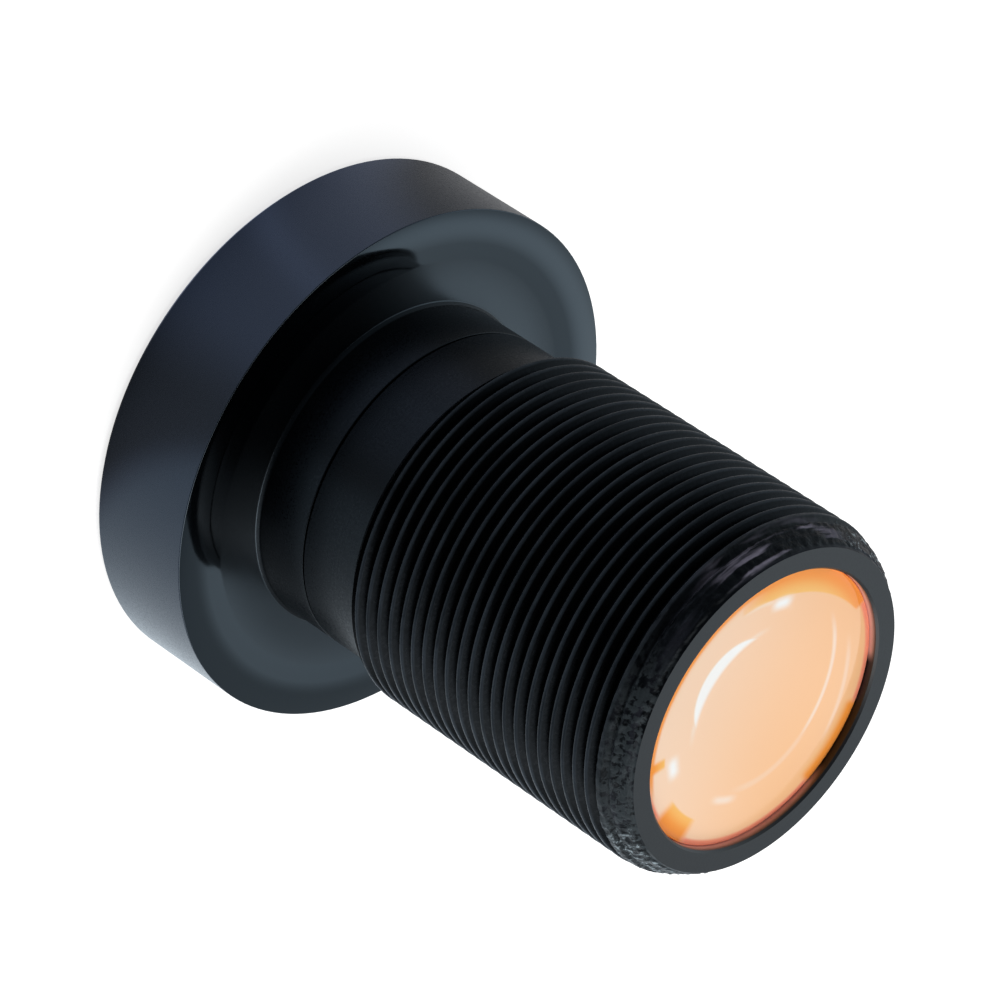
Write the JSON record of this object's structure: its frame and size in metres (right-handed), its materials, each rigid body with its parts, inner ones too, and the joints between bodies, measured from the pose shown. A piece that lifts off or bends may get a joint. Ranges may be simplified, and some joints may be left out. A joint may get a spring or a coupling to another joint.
{
  "type": "board camera lens",
  "caption": "Threaded board camera lens with a wide front head, a fine-threaded barrel, stacked glass elements and an infrared filter at the rear.",
  "frame": {"origin": "centre of the front rim's plane, on which the lens stands", "axes": "+Z along the optical axis, from the front rim towards the rear face that looks at the image sensor; +X through one of the retaining ring's spanner slots"},
  "size_m": [0.0176, 0.0176, 0.0203],
  "materials": {
    "head_anodised": "satin black anodised, with fine turning marks round the rim",
    "barrel_anodised": "satin black anodised, worn lighter on the thread's crests and on the rear chamfer",
    "ring_anodised": "matt black anodised",
    "blackened_brass": "chemically blackened, matt",
    "black_film": "matt black film",
    "seal_rubber": "black, slightly oily",
    "optical_glass": "polished and coated",
    "filter_glass": "polished, with a coating that reflects peach to orange"
  },
  "bodies": {
    "root": {"head_housing": "head_anodised", "threaded_barrel": "barrel_anodised", "front_retaining_ring": "ring_anodised", "front_seal_ring": "seal_rubber", "front_element": "optical_glass", "front_shield": "black_film", "head_spacer": "blackened_brass", "second_element": "optical_glass", "third_element": "optical_glass", "first_spacer": "blackened_brass", "aperture_stop": "black_film", "stop_spacer": "blackened_brass", "fourth_element": "optical_glass", "fifth_element": "optical_glass", "middle_shield": "black_film", "second_spacer": "blackened_brass", "sixth_element": "optical_glass", "rear_shield": "black_film", "third_spacer": "blackened_brass", "seventh_element": "optical_glass", "filter_seat": "blackened_brass", "infrared_filter": "filter_glass"}
  },
  "joints": []
}
